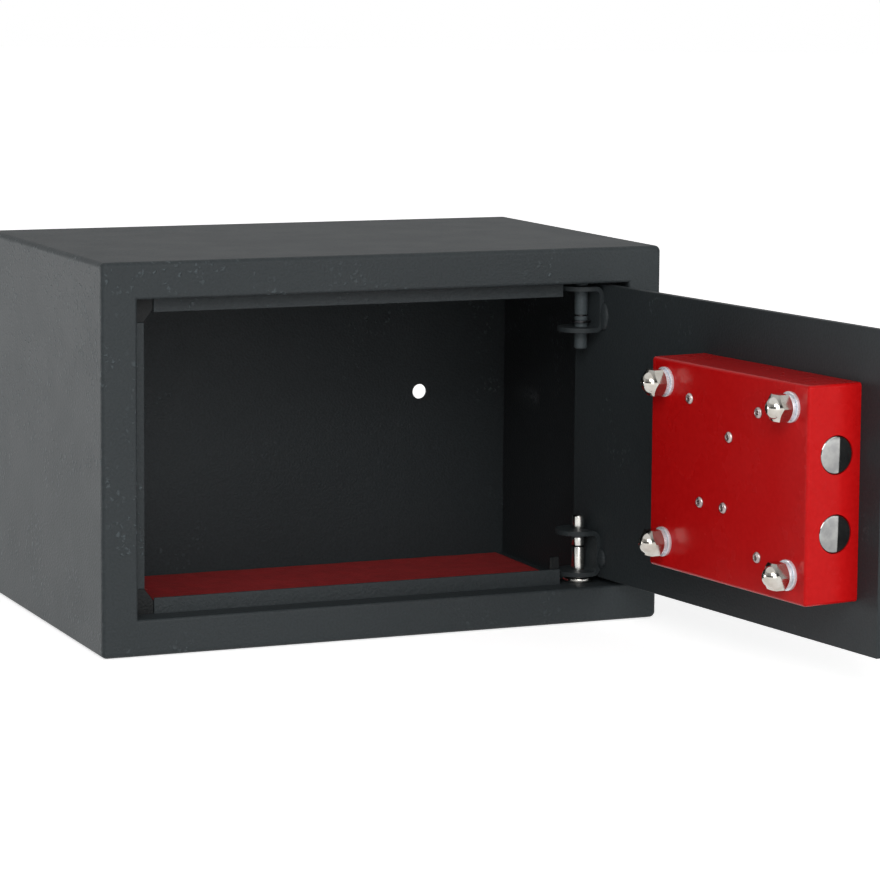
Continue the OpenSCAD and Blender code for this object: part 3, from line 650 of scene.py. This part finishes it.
# %% Felt mat
CUT_SHORT = 2 * MM
mat_lo, mat_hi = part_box("floor_mat")
mat_hi.x -= CUT_SHORT
STEP = 3 * MM
EDGE_WANDER = 0.5 * MM
EDGE_DROP = 0.35 * MM
across_count = round((mat_hi.x - mat_lo.x) / STEP)
along_count = round((mat_hi.y - mat_lo.y) / STEP)
mat_thick = mat_hi.z - mat_lo.z
bm = bmesh.new()
sides = {}
for top in (0, 1):
    grid = []
    for i in range(across_count + 1):
        row = []
        for j in range(along_count + 1):
            x = mat_lo.x + (mat_hi.x - mat_lo.x) * i / across_count
            y = mat_lo.y + (mat_hi.y - mat_lo.y) * j / along_count
            if i in (0, across_count):
                x += (1 if i == 0 else -1) * EDGE_WANDER * (0.5 + 0.5 * noise.noise(Vector((0, y * 90, i))))
            if j in (0, along_count):
                y += (1 if j == 0 else -1) * EDGE_WANDER * (0.5 + 0.5 * noise.noise(Vector((x * 90, j, 0))))
            edge = min(i, across_count - i, j, along_count - j)
            swell_here = noise.noise(Vector((x * 60, y * 60, 3)))
            rise = mat_thick * (0.86 + 0.12 * swell_here) - (EDGE_DROP if edge == 0 else 0)
            row.append(bm.verts.new((x, y, mat_lo.z + (rise if top else 0))))
        grid.append(row)
    sides[top] = grid
for top, grid in sides.items():
    for i in range(across_count):
        for j in range(along_count):
            bm.faces.new((grid[i][j], grid[i + 1][j], grid[i + 1][j + 1], grid[i][j + 1]))
rim = [(i, 0) for i in range(across_count)] + [(across_count, j) for j in range(along_count)] \
    + [(i, along_count) for i in range(across_count, 0, -1)] + [(0, j) for j in range(along_count, 0, -1)]
for (i, j), (k, m) in zip(rim, rim[1:] + rim[:1]):
    bm.faces.new((sides[0][i][j], sides[0][k][m], sides[1][k][m], sides[1][i][j]))
mat = new_piece("felt_mat", bm, felt, "cabinet", ["floor_mat"], smooth=60)
print(mat.name, len(mat.data.polygons), "faces")

# %% [markdown]
# ## Door plate and hinge brackets
#
# The door is a thick plate, and each bracket is a strip bent into a U and welded to it.
# Their outlines come from the solids.

# %% Door plate and brackets
for node, radius in (("door_plate", 0.5), ("upper_hinge_bracket", 0.3), ("lower_hinge_bracket", 0.3)):
    plate = softened(node, door_coat, radius * MM)
    print(plate.name, len(plate.data.polygons), "faces")
clips = softened("hinge_clips", spring_steel, 0.1 * MM, 2)
print(clips.name, len(clips.data.polygons), "faces")

# %% [markdown]
# Each bracket has one short fat weld on each side, in the door's coat. It is a loft of rings
# along the bracket's edge: they swell from nothing to full size and back, with ripples
# where the weld pool stopped and went on.

# %% Welds on the brackets
WELD_HIGH = 1.9 * MM
WELD_RINGS = 26
WELD_SIDES = 20
RIPPLE = 1.9 * MM
WELD_SPANS = {"upper_hinge_bracket": (155.5 * MM, 169.5 * MM), "lower_hinge_bracket": (27.5 * MM, 37.5 * MM)}


def weld(bm, start, end, wide, high, seed):
    """A blob of weld from start to end; wide and high are its half sizes across."""
    rings = []
    for k in range(WELD_RINGS + 1):
        t = k / WELD_RINGS
        size = math.sin(math.pi * (0.03 + 0.94 * t)) ** 0.45
        size *= 0.98 + 0.02 * math.sin(2 * math.pi * t * (end - start).length / RIPPLE)
        size *= 1 + 0.12 * noise.noise(Vector((t * 5, seed, 0)))
        rings.append([start + (end - start) * t + (wide * math.cos(a) + high * math.sin(a)) * size
                      for a in (2 * math.pi * i / WELD_SIDES for i in range(WELD_SIDES))])
    loft(bm, rings)


bm = bmesh.new()
for seed, (node, (low, high)) in enumerate(WELD_SPANS.items()):
    lo, hi = door_box(node)
    for u, half in ((lo.x, 2.4 * MM), (hi.x, 5.0 * MM)):
        weld(bm, to_world @ Vector((u, 0.2 * MM, low)), to_world @ Vector((u, 0.2 * MM, high)),
             along_door * half, from_door * WELD_HIGH, seed + u * 100)
welds = new_piece("bracket_welds", bm, door_coat, "door", smooth=60)
print(welds.name, len(welds.data.polygons), "faces")

# %% [markdown]
# ## Hinge pins and thrust washer
#
# The pins are turned, with a chamfer at each end and grooves for the clips. In the photograph the upper one is
# dull grey and the lower one bright, on a bright washer. The groove faces are given the black steel, as painted
# shade in the grooves.

# %% Pins and washer
PIN_R = 3.5 * MM
GROOVE_R = 2.8 * MM
hinge_axis = upright_at(hinge_at.x, hinge_at.y)
for node, material, slot, grooves in (
        ("upper_hinge_pin", pin_coat, "door_coat", (158.8, 162.0)),
        ("lower_hinge_pin", chrome_pin, "bright_chrome", (37.8, 43.2))):
    lo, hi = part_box(node)
    corners = [(lo.z, PIN_R - 0.7 * MM, 0.2 * MM), (lo.z + 0.7 * MM, PIN_R, 0.2 * MM)]
    for z in grooves:
        for dz, r in ((0, PIN_R), (0.05, GROOVE_R), (0.85, GROOVE_R), (0.9, PIN_R)):
            corners.append(((z + dz) * MM, r, 0.08 * MM))
    corners += [(hi.z - 0.7 * MM, PIN_R, 0.2 * MM), (hi.z, PIN_R - 0.7 * MM, 0.2 * MM)]
    corners = [(lo.z, 0.2 * MM, 0)] + corners + [(hi.z, 0.2 * MM, 0)]
    bm = bmesh.new()
    turned(bm, eased(corners), hinge_axis)
    pin = new_piece(node + "_turned", bm, material, "door", [node])
    # The black steel on the groove faces is painted shade in the grooves.
    pin.data.materials.append(spring_steel)
    for face in pin.data.polygons:
        off_axis = face.center - Vector((hinge_at.x, hinge_at.y, face.center.z))
        at_groove = any(0 < face.center.z - z * MM < 0.9 * MM for z in grooves)
        in_painted_groove_shade = off_axis.length < PIN_R - 0.15 * MM and at_groove
        face.material_index = 1 if in_painted_groove_shade else 0
    print(pin.name, len(pin.data.polygons), "faces")

lo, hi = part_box("thrust_washer")
bm = bmesh.new()
half = (hi.x - lo.x) / 2
ring = [(lo.z, PIN_R + 0.05 * MM, 0.2 * MM), (hi.z, PIN_R + 0.05 * MM, 0.3 * MM),
        (hi.z, half, 0.9 * MM), (lo.z, half, 0.5 * MM)]
turned(bm, eased(ring, 4), hinge_axis, 64, closed=True)
washer = new_piece("thrust_washer_turned", bm, chrome_pin, "cabinet", ["thrust_washer"])
print(washer.name, len(washer.data.polygons), "faces")

# %% [markdown]
# ## The red lock case
#
# The case is a tray of thin sheet, folded over all four sides. It is lofted from
# rounded rectangles too: up the outside, over the bend, and back down the inside. The
# two bolt holes are then cut with a Boolean, which keeps their edges exact.

# %% Lock case
CASE_BEND = 1.7 * MM
CASE_SHEET = 1.5 * MM
BOLT_HOLE_R = 9.5 * MM
BOLT_LIFT = 14 * MM
BOLT_ZS = (81 * MM, 119 * MM)


def case_ring(w, inset, corner):
    """A rounded rectangle over the door at height w, inset from the case's outside."""
    u0, u1 = cover_lo.x + inset, cover_hi.x - inset
    z0, z1 = cover_lo.z + inset, cover_hi.z - inset
    points = []
    for (cu, cz), start in (((u1 - corner, z1 - corner), 0), ((u0 + corner, z1 - corner), 90),
                            ((u0 + corner, z0 + corner), 180), ((u1 - corner, z0 + corner), 270)):
        for k in range(ARC_STEPS + 1):
            angle = math.radians(start + 90 * k / ARC_STEPS)
            spot = Vector((cu + corner * math.cos(angle), w, cz + corner * math.sin(angle)))
            points.append(to_world @ spot)
    return points


top_w = cover_hi.y
outside = [(top_w - CASE_BEND * (1 - math.cos(t)), CASE_BEND * (1 - math.sin(t)),
            CASE_BEND * max(0.12, math.sin(t)))
           for t in (math.radians(90 * k / ARC_STEPS) for k in range(ARC_STEPS + 1))]
case_rings = outside + [(0.2 * MM, 0, CASE_BEND), (0, 0.2 * MM, CASE_BEND), (0, CASE_SHEET, 0.4 * MM),
                        (top_w - CASE_SHEET - 0.3 * MM, CASE_SHEET, 0.4 * MM),
                        (top_w - CASE_SHEET, CASE_SHEET + 0.3 * MM, 0.3 * MM)]
bm = bmesh.new()
loft(bm, [case_ring(*r) for r in case_rings])
case = new_piece("red_lock_case", bm, red_coat, "door", ["lock_cover"], smooth=35)

bm = bmesh.new()
for z in BOLT_ZS:
    turned(bm, [(cover_hi.x - 4 * MM, BOLT_HOLE_R), (cover_hi.x + 4 * MM, BOLT_HOLE_R)],
           down_the_door(BOLT_LIFT, z), 72)
cutter = plain_object("bolt_hole_cutter", bm)


def cut_with(piece, tool):
    """Applies a Boolean difference and removes the tool."""
    cut = piece.modifiers.new("cut", "BOOLEAN")
    cut.operation, cut.object, cut.solver = "DIFFERENCE", tool, "EXACT"
    bpy.context.view_layer.update()
    shape = bpy.data.meshes.new_from_object(piece.evaluated_get(bpy.context.evaluated_depsgraph_get()))
    piece.modifiers.clear()
    piece.data = shape
    shape.set_sharp_from_angle(angle=math.radians(35))
    bpy.data.objects.remove(tool)


cut_with(case, cutter)
case.modifiers.new("flat_faces_stay_flat", "WEIGHTED_NORMAL").keep_sharp = True
print(case.name, len(case.data.polygons), "faces after the cut")

# %% [markdown]
# ## Washers and cap nuts
#
# Each corner of the case is held by a stud with a flat washer, a split spring washer
# and a cap nut. The nut is a lathe shape whose rings follow a hexagon: `hexagon` says
# how far the flats and corners are from the axis. A cone cuts its corners off at top
# and bottom, which gives the curved edges of a real nut. The dome is the upper part of
# a ball, and meets the cone in a crease.

# %% Nuts and washers
washer_lo, washer_hi = door_box("flat_washers")
spring_lo, spring_hi = door_box("spring_washers")
nut_lo = door_box("cap_nuts")[0]
WASHER_R = 7.5 * MM
BORE_R = 4 * MM
NUT_FLAT = 6.5 * MM
NUT_H = 6.9 * MM
DOME_R = 5.6 * MM
DOME_SINK = 1.9 * MM
CONE_SLOPE = math.tan(math.radians(30))
crease_r = math.sqrt(DOME_R ** 2 - DOME_SINK ** 2)
stud_places = [(u, z) for u in (washer_lo.x + WASHER_R, washer_hi.x - WASHER_R)
               for z in (washer_lo.z + WASHER_R, washer_hi.z - WASHER_R)]


def hexagon(angle):
    """Distance from the axis to the side of a hexagonal nut."""
    return NUT_FLAT / math.cos(angle % (math.pi / 3) - math.pi / 6)


def coned(height, lean, clear_r):
    """A ring on the hexagon, moved towards the nut's middle where a cone cuts its corners."""
    def spot(angle):
        radius = hexagon(angle) - 0.05 * MM
        return height + lean * max(0.0, radius - clear_r) * CONE_SLOPE, radius
    return spot


nut_profile = [(0, BORE_R), (0, NUT_FLAT * 0.97), coned(0, 1, NUT_FLAT * 0.97), coned(NUT_H, -1, crease_r),
               (NUT_H, crease_r)]
DOME_STEPS = 12
crease_at = math.degrees(math.asin(DOME_SINK / DOME_R))
for k in range(1, DOME_STEPS):
    rise = math.radians(crease_at + (90 - crease_at) * k / DOME_STEPS)
    nut_profile.append((NUT_H - DOME_SINK + DOME_R * math.sin(rise), DOME_R * math.cos(rise)))

flat_bm, spring_bm, nut_bm = bmesh.new(), bmesh.new(), bmesh.new()
for u, z in stud_places:
    flat = [(washer_lo.y, BORE_R, 0.2 * MM), (washer_hi.y, BORE_R, 0.2 * MM),
            (washer_hi.y, WASHER_R, 0.35 * MM), (washer_lo.y, WASHER_R, 0.2 * MM)]
    turned(flat_bm, eased(flat), out_of_door(u, z), 64, closed=True)
    turned(nut_bm, nut_profile, out_of_door(u, z, nut_lo.y), 72)
print("nut profile has", len(nut_profile), "rings")

# %% [markdown]
# A spring washer is a ring of square wire that is cut through. Its two ends stand a
# little apart, so it is lofted from square sections along most of a circle.

# %% Spring washers
SPLIT = math.radians(9)
SPRING_R = 6.5 * MM
COIL_STEPS = 40
COIL_RISE = 0.3 * MM
spring_h = spring_hi.y - spring_lo.y
for u, z in stud_places:
    axis = out_of_door(u, z, spring_lo.y)
    sections = []
    for k in range(COIL_STEPS + 1):
        t = k / COIL_STEPS
        angle = math.pi / 2 + SPLIT / 2 + (2 * math.pi - SPLIT) * t
        lift = COIL_RISE * t
        wire = eased([(lift, BORE_R, 0.15 * MM), (lift + spring_h - COIL_RISE, BORE_R, 0.15 * MM),
                      (lift + spring_h - COIL_RISE, SPRING_R, 0.25 * MM), (lift, SPRING_R, 0.25 * MM)], 2)
        sections.append([axis @ Vector((r * math.cos(angle), r * math.sin(angle), a)) for a, r in wire])
    loft(spring_bm, sections)
for name, made, material, slot, node in (
        ("flat_washers_turned", flat_bm, milky_zinc, "zinc", "flat_washers"),
        ("spring_washers_split", spring_bm, milky_zinc, "zinc", "spring_washers"),
        ("cap_nuts_domed", nut_bm, chrome, "bright_chrome", "cap_nuts")):
    piece = new_piece(name, made, material, "door", [node], smooth=30)
    print(piece.name, len(piece.data.polygons), "faces")

# %% [markdown]
# Six small screw ends stand out of the case's face. Each is a low dome with a dark
# socket in its middle.

# %% Small screws
SCREW_PLACES = [(98, 35.5), (40, 35.5), (64, 20.5), (88, -15), (68, -15), (39, -35)]
screw_lo, screw_hi = door_box("cover_screws")
HEAD_R, SOCKET_R = 2.8 * MM, 1.17 * MM
head_w = cover_hi.y
bm = bmesh.new()
for from_side, from_middle in SCREW_PLACES:
    axis = out_of_door(cover_hi.x - from_side * MM, (100 + from_middle) * MM)
    head = [(screw_lo.y, 1.6 * MM, 0.2 * MM), (head_w, 1.6 * MM, 0), (head_w, HEAD_R, 0.2 * MM),
            (head_w + 0.5 * MM, HEAD_R, 0.3 * MM), (screw_hi.y, HEAD_R * 0.72, 0.35 * MM),
            (screw_hi.y, SOCKET_R, 0.15 * MM), (head_w + 0.1 * MM, SOCKET_R * 0.85, 0)]
    turned(bm, [(screw_lo.y, 0.1 * MM)] + eased(head) + [(head_w, 0.1 * MM)], axis, 32)
screws = new_piece("case_screws", bm, dull_nickel_painted_red_reflection, "door", ["cover_screws"])
print(screws.name, len(screws.data.polygons), "faces")

# %% [markdown]
# ## The bolts
#
# The bolts are round bars. What shows is the polished end, with a small chamfer that
# makes a bright rim.

# %% Bolts
BOLT_R = 9.4 * MM
for node, z, material in zip(("lower_bolt", "upper_bolt"), BOLT_ZS, chrome_bolts):
    lo, hi = door_box(node)
    corners = [(lo.x, 3 * MM, 0), (lo.x, BOLT_R, 0.3 * MM), (hi.x - 0.6 * MM, BOLT_R, 0.15 * MM),
               (hi.x, BOLT_R - 0.6 * MM, 0.15 * MM), (hi.x, 0.5 * MM, 0)]
    bm = bmesh.new()
    turned(bm, [(lo.x + 14 * MM, 3 * MM)] + eased(corners), down_the_door(BOLT_LIFT, z), 72)
    bolt = new_piece(node + "_polished", bm, material, "carriage", [node])
    print(bolt.name, len(bolt.data.polygons), "faces")

# %% [markdown]
# ## Knob and key lock on the outside
#
# The knob has ten flutes for the fingers. They are made like the nut's flats: the
# ring's radius dips by a smooth amount ten times in a turn. The top edge is rounded
# and its face slightly dished.

# %% Knob
FLUTES = 10
FLUTE_DEPTH = 1.1 * MM
GRIP_R = 17 * MM
SKIRT_R = 18 * MM
SKIRT_H = 4 * MM
GRIP_EASE = 2 * MM
DIP_WIDTH = 0.62


def fluted(along, radius, share=1.0):
    """A ring of the grip, with its flutes cut to a share of their full depth."""
    def spot(angle):
        nearest = (angle * FLUTES / (2 * math.pi) - 0.5) % 1 - 0.5
        dip = max(0.0, math.cos(nearest * math.pi / DIP_WIDTH)) if abs(nearest) < DIP_WIDTH / 2 else 0.0
        return along, radius - FLUTE_DEPTH * share * dip
    return spot


grip_top = -knob_lo.y - 0.8 * MM
skirt_top = -knob_hi.y + SKIRT_H
knob_profile = [(-knob_hi.y, 4 * MM), (-knob_hi.y, SKIRT_R - 0.3 * MM), (-knob_hi.y + 0.3 * MM, SKIRT_R),
                (skirt_top - 0.8 * MM, SKIRT_R), (skirt_top - 0.2 * MM, SKIRT_R - 0.25 * MM)]
knob_profile += [fluted(height, GRIP_R) for height in (skirt_top, skirt_top + 4 * MM, grip_top - GRIP_EASE)]
for k in range(1, 7):
    rise = math.radians(90 * k / 6)
    knob_profile.append(fluted(grip_top - GRIP_EASE * (1 - math.sin(rise)),
                               GRIP_R - GRIP_EASE * (1 - math.cos(rise)), 1 - k / 7))
knob_profile += [(grip_top, GRIP_R - 4 * MM), (grip_top - 0.5 * MM, GRIP_R - 5 * MM),
                 (grip_top - 0.5 * MM, 1 * MM)]
axis = to_world @ Matrix.Translation((knob_u, 0, knob_z)) @ Matrix.Rotation(math.radians(90), 4, "X")
bm = bmesh.new()
turned(bm, knob_profile, axis, 160)
mark = [(-1.5, 4), (1.5, 4), (1.5, 14), (-1.5, 14)]
low, high = grip_top - 1 * MM, grip_top + 0.8 * MM
loft(bm, [[axis @ Vector((x * f * MM, y * MM, a)) for x, y in mark]
          for a, f in ((low, 1), (high - 0.2 * MM, 1), (high, 0.8))])
knob = new_piece("knob_fluted", bm, chrome_knob, "knob_turner", ["knob"], smooth=38)
print(knob.name, len(knob.data.polygons), "faces")

# %% [markdown]
# The lock and the small parts round it are softened copies. The parts inside the case
# keep their solids, and get their finish here too.

# %% Lock, rose and hidden parts
for node, material, slot, radius in (
        ("knob_rose", chrome_knob, "bright_chrome", 0.5), ("lock_barrel", chrome, "bright_chrome", 0.4),
        ("key_plug", brass, "brass", 0.15)):
    piece = softened(node, material, radius * MM)
    print(piece.name, len(piece.data.polygons), "faces")

kept = {
    "cover_studs": (zinc, "zinc"), "mechanism_plate": (zinc, "zinc"), "bolt_guide": (zinc, "zinc"),
    "guide_screws": (zinc, "zinc"), "knob_bush": (brass, "brass"), "lock_nut": (zinc, "zinc"),
    "bolt_carriage": (zinc, "zinc"), "bolt_screws": (tool_steel, "tool_steel"),
    "knob_shaft": (tool_steel, "tool_steel"), "crank_arm": (tool_steel, "tool_steel"),
    "drive_pin": (tool_steel, "tool_steel"), "knob_grub_screw": (spring_steel, "spring_steel"),
    "lock_cam": (zinc, "zinc"), "cam_screw": (zinc, "zinc"),
}
for node, (material, slot) in kept.items():
    solid = frame["nodes"][node]
    solid.data.materials.clear()
    solid.data.materials.append(material)
print("solids kept as they are:", len(kept))

# %% [markdown]
# ## Floor, backdrop and light
#
# The photograph has a plain white ground. Both floor and sky are white to the camera
# and to mirrors, but light the object only softly, so that colours stay as painted.
# Three large soft lamps stand at the front, and a low one at the back left edges the box.

# %% Floor and sky
FLOOR_R = 9.0
bm = bmesh.new()
turned(bm, [(-0.02, FLOOR_R), (-0.0005, FLOOR_R)], upright_at(0, 0), 64)
floor = plain_object("studio_floor", bm)


def seen_directly(tree):
    """1 for rays from the camera, and for those that reach it by a mirror or through glass."""
    path = add(tree, "ShaderNodeLightPath").outputs
    seen = calc(tree, "MAXIMUM", path["Is Camera Ray"], path["Is Glossy Ray"])
    return calc(tree, "MAXIMUM", seen, path["Is Transmission Ray"])


NEAR_GLOW, FAR_GLOW = 0.7, 0.95
paper, tree, shader, place = new_material("white_paper", Roughness=0.9, IOR=1.2)
grain = add(tree, "ShaderNodeTexNoise", {"Vector": place, "Scale": 300})
tree.links.new(blend_colours(tree, grain.outputs[0], grey(0.80), grey(0.84)), shader.inputs["Base Color"])
far_off = ramp(tree, vector_calc(tree, "LENGTH", place, out=1), 0.5, 1.4, NEAR_GLOW, FAR_GLOW)
glow = add(tree, "ShaderNodeEmission", {"Strength": calc(tree, "MULTIPLY", seen_directly(tree), far_off)})
both = add(tree, "ShaderNodeAddShader", {0: shader.outputs[0], 1: glow.outputs[0]})
tree.links.new(both.outputs[0], tree.nodes["Material Output"].inputs["Surface"])
floor.data.materials.append(paper)

SKY_LIGHT = 0.15
world = bpy.data.worlds.new("studio")
world.use_nodes = True
bpy.context.scene.world = world
sky = world.node_tree
strength = ramp(sky, seen_directly(sky), 0, 1, SKY_LIGHT, 1.0)
sky.links.new(strength, sky.nodes["Background"].inputs["Strength"])
sky.nodes["Background"].inputs["Color"].default_value = (1, 1, 1, 1)
bpy.context.scene.view_settings.view_transform = "Standard"
print("floor and sky are white")

# %% [markdown]
# Polished metal shows whatever stands round it, and in a room that is white all over it
# looks like chalk. So a round grey studio wall stands behind the lamps. Its front half
# has a dark band at its foot, and its back half is lighter, for the box's flat sides.
# Only mirror rays see it, as a photographer's cards are kept out of view.

# %% Grey wall for the mirrors
WALL_R, WALL_TOP = 3.4, 2.6
WALL_GREY, WALL_DARK, WALL_BACK = 0.35, 0.03, 0.6
bm = bmesh.new()
turned(bm, [(0.0, WALL_R), (WALL_TOP, WALL_R), (WALL_TOP, WALL_R + 0.02), (0.0, WALL_R + 0.02)],
       upright_at(0, 0), 72, closed=True)
wall = plain_object("studio_wall", bm)
wall_paint, tree, shader, place = new_material("grey_wall", Roughness=0.9)
spot = add(tree, "ShaderNodeSeparateXYZ", {0: place}).outputs
front_glow = ramp(tree, spot["Z"], 0.5, 1.1, WALL_DARK, WALL_GREY)
behind = ramp(tree, spot["Y"], -0.6, 0.6)
level_there = add(tree, "ShaderNodeMix", {0: behind, 2: front_glow, 3: WALL_BACK}).outputs[0]
wall_glow = add(tree, "ShaderNodeEmission", {"Strength": level_there})
tree.links.new(wall_glow.outputs[0], tree.nodes["Material Output"].inputs["Surface"])
wall.data.materials.append(wall_paint)
wall.visible_camera = wall.visible_diffuse = wall.visible_shadow = False
wall.visible_transmission = wall.visible_volume_scatter = False
print("wall", WALL_R, "m from the middle and", WALL_TOP, "m high")

# %% Lamps


def soft_lamp(name, at, aim, size, watts):
    """An area lamp at a point, turned to face another; size is its width and height."""
    lamp = bpy.data.objects.new(name, bpy.data.lights.new(name, "AREA"))
    bpy.context.collection.objects.link(lamp)
    lamp.data.shape, lamp.data.energy = "RECTANGLE", watts
    lamp.data.size, lamp.data.size_y = size
    lamp.location = at
    lamp.rotation_mode = "QUATERNION"
    lamp.rotation_quaternion = (Vector(aim) - Vector(at)).to_track_quat("-Z", "Y")
    lamp.visible_camera = False
    return lamp


middle = (0.05, -0.15, 0.1)
soft_lamp("key_lamp", (-1.1, -2.1, 1.5), middle, (1.2, 1.2), 24)
soft_lamp("front_lamp", (-0.35, -2.6, 0.75), middle, (1.5, 1.5), 24)
soft_lamp("fill_lamp", (1.2, -2.2, 0.8), middle, (1.2, 1.2), 16)
soft_lamp("edge_lamp", (-1.5, 0.9, 0.12), middle, (1.0, 0.22), 14)
print("four soft lamps")
